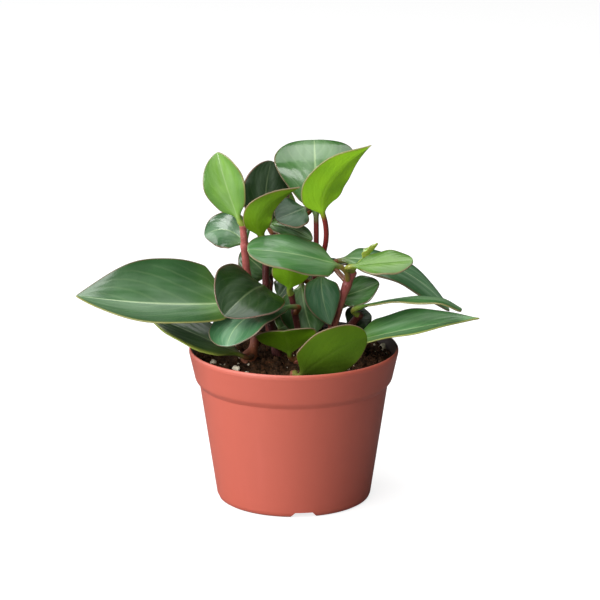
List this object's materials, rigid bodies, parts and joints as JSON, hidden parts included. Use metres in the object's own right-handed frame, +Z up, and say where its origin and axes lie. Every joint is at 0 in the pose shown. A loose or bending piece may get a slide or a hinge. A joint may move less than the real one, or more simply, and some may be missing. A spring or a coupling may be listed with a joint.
{
  "type": "potted peperomia",
  "caption": "Small house plant with glossy spoon-shaped leaves on red stems, rooted in soil in a round tapered plastic nursery pot.",
  "frame": {"origin": "middle of the pot's underside, on the surface that the pot stands on", "axes": "+Z up out of the pot, -Y towards the front of the plant, +X to its right as seen from the front"},
  "size_m": [0.2065, 0.1143, 0.189],
  "materials": {
    "pot": "terracotta-coloured moulded plastic with a satin sheen",
    "soil": "moist, dark, crumbly potting mix with white grains of perlite",
    "stem": "smooth fleshy red stems, browner and woodier at the foot",
    "leaf_mature": "thick waxy dark green leaves with a glossy upper face, a paler underside and a thin pink margin",
    "leaf_young": "fresh lime green glossy leaves with a pale midrib and a thin pink margin"
  },
  "bodies": {
    "root": {"pot": "pot", "soil": "soil", "stem_back": "stem", "stem_centre": "stem", "stem_centre_shoot": "stem", "stem_front_shoot": "stem", "stem_left": "stem", "stem_low_right": "stem", "stem_middle": "stem", "stem_rear_left": "stem", "stem_right": "stem", "leaf_behind_centre": "leaf_mature", "leaf_behind_left": "leaf_mature", "leaf_behind_right": "leaf_mature", "leaf_centre_front": "leaf_mature", "leaf_centre_hanging": "leaf_mature", "leaf_centre_shaded": "leaf_mature", "leaf_far_left": "leaf_mature", "leaf_front_dark": "leaf_mature", "leaf_front_lime": "leaf_young", "leaf_front_low": "leaf_mature", "leaf_inner_dark": "leaf_mature", "leaf_inner_lime": "leaf_young", "leaf_inner_pale": "leaf_mature", "leaf_left_back": "leaf_mature", "leaf_low_centre": "leaf_mature", "leaf_low_left": "leaf_mature", "leaf_low_shaded": "leaf_mature", "leaf_new_spear": "leaf_young", "leaf_rear_bottom": "leaf_mature", "leaf_rear_high_left": "leaf_mature", "leaf_rear_high_right": "leaf_mature", "leaf_rear_left": "leaf_mature", "leaf_rear_low": "leaf_mature", "leaf_rear_middle": "leaf_mature", "leaf_rear_right": "leaf_mature", "leaf_rear_upright": "leaf_young", "leaf_right_arching": "leaf_mature", "leaf_right_edge_on": "leaf_mature", "leaf_right_low": "leaf_mature", "leaf_right_young": "leaf_young", "leaf_top_large": "leaf_mature", "leaf_top_left": "leaf_young", "leaf_top_pointed": "leaf_young", "leaf_upper_back": "leaf_mature", "leaf_upper_folded": "leaf_young"}
  },
  "joints": []
}
